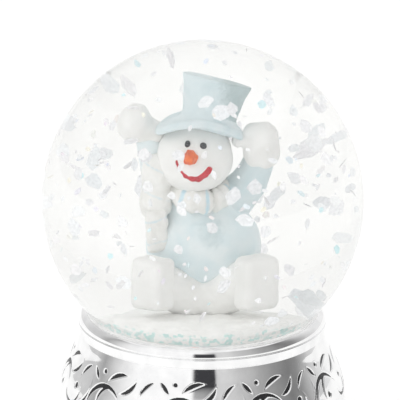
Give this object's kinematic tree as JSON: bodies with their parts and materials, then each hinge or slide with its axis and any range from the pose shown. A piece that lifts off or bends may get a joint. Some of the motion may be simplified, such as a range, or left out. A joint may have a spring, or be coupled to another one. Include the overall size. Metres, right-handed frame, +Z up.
{
  "type": "snow globe",
  "caption": "Small liquid-filled glass ball with a seated painted snowman and drifting flakes, on a round silver-plated base with black engraved scrollwork.",
  "frame": {"origin": "centre of the underside, on the surface that the globe stands on", "axes": "+Z up through the ball, -Y towards the side that the snowman faces, +X to that viewer's right"},
  "size_m": [0.045, 0.045, 0.065],
  "materials": {
    "silver_plating": "polished",
    "black_enamel": "gloss",
    "clear_silicone": "satin",
    "dark_rubber": "matte",
    "clear_glass": "polished",
    "white_rubber": "matte",
    "snow_paint": "matte",
    "white_paint": "satin",
    "blue_paint": "satin",
    "scarf_paint": "satin",
    "orange_paint": "satin",
    "black_paint": "gloss",
    "red_paint": "satin",
    "clear_liquid": "polished",
    "white_film": "satin",
    "iridescent_film": "gloss"
  },
  "bodies": {
    "globe": {"base_shell": "silver_plating", "base_enamel": "black_enamel", "seat_adhesive": "clear_silicone", "underside_pad": "dark_rubber", "glass_globe": "clear_glass", "neck_plug": "white_rubber", "snow_mound": "snow_paint", "legs": "white_paint", "boot_left": "white_paint", "boot_right": "white_paint", "coat": "blue_paint", "sleeve_left": "blue_paint", "sleeve_right": "blue_paint", "mitten_left": "white_paint", "mitten_right": "white_paint", "scarf_wrap": "scarf_paint", "scarf_fold": "scarf_paint", "scarf_tail": "scarf_paint", "head": "white_paint", "hat_brim": "blue_paint", "hat_crown": "blue_paint", "nose": "orange_paint", "eyes": "black_paint", "mouth": "red_paint"},
    "swirl": {"liquid": "clear_liquid", "white_flakes": "white_film", "glitter_flakes": "iridescent_film", "settled_flakes": "iridescent_film"}
  },
  "joints": [
    {"name": "liquid_swirl", "type": "hinge", "parent": "globe", "child": "swirl", "pos_m": [0, 0, 0.0425], "axis": [0, 0, 1], "continuous": true}
  ]
}
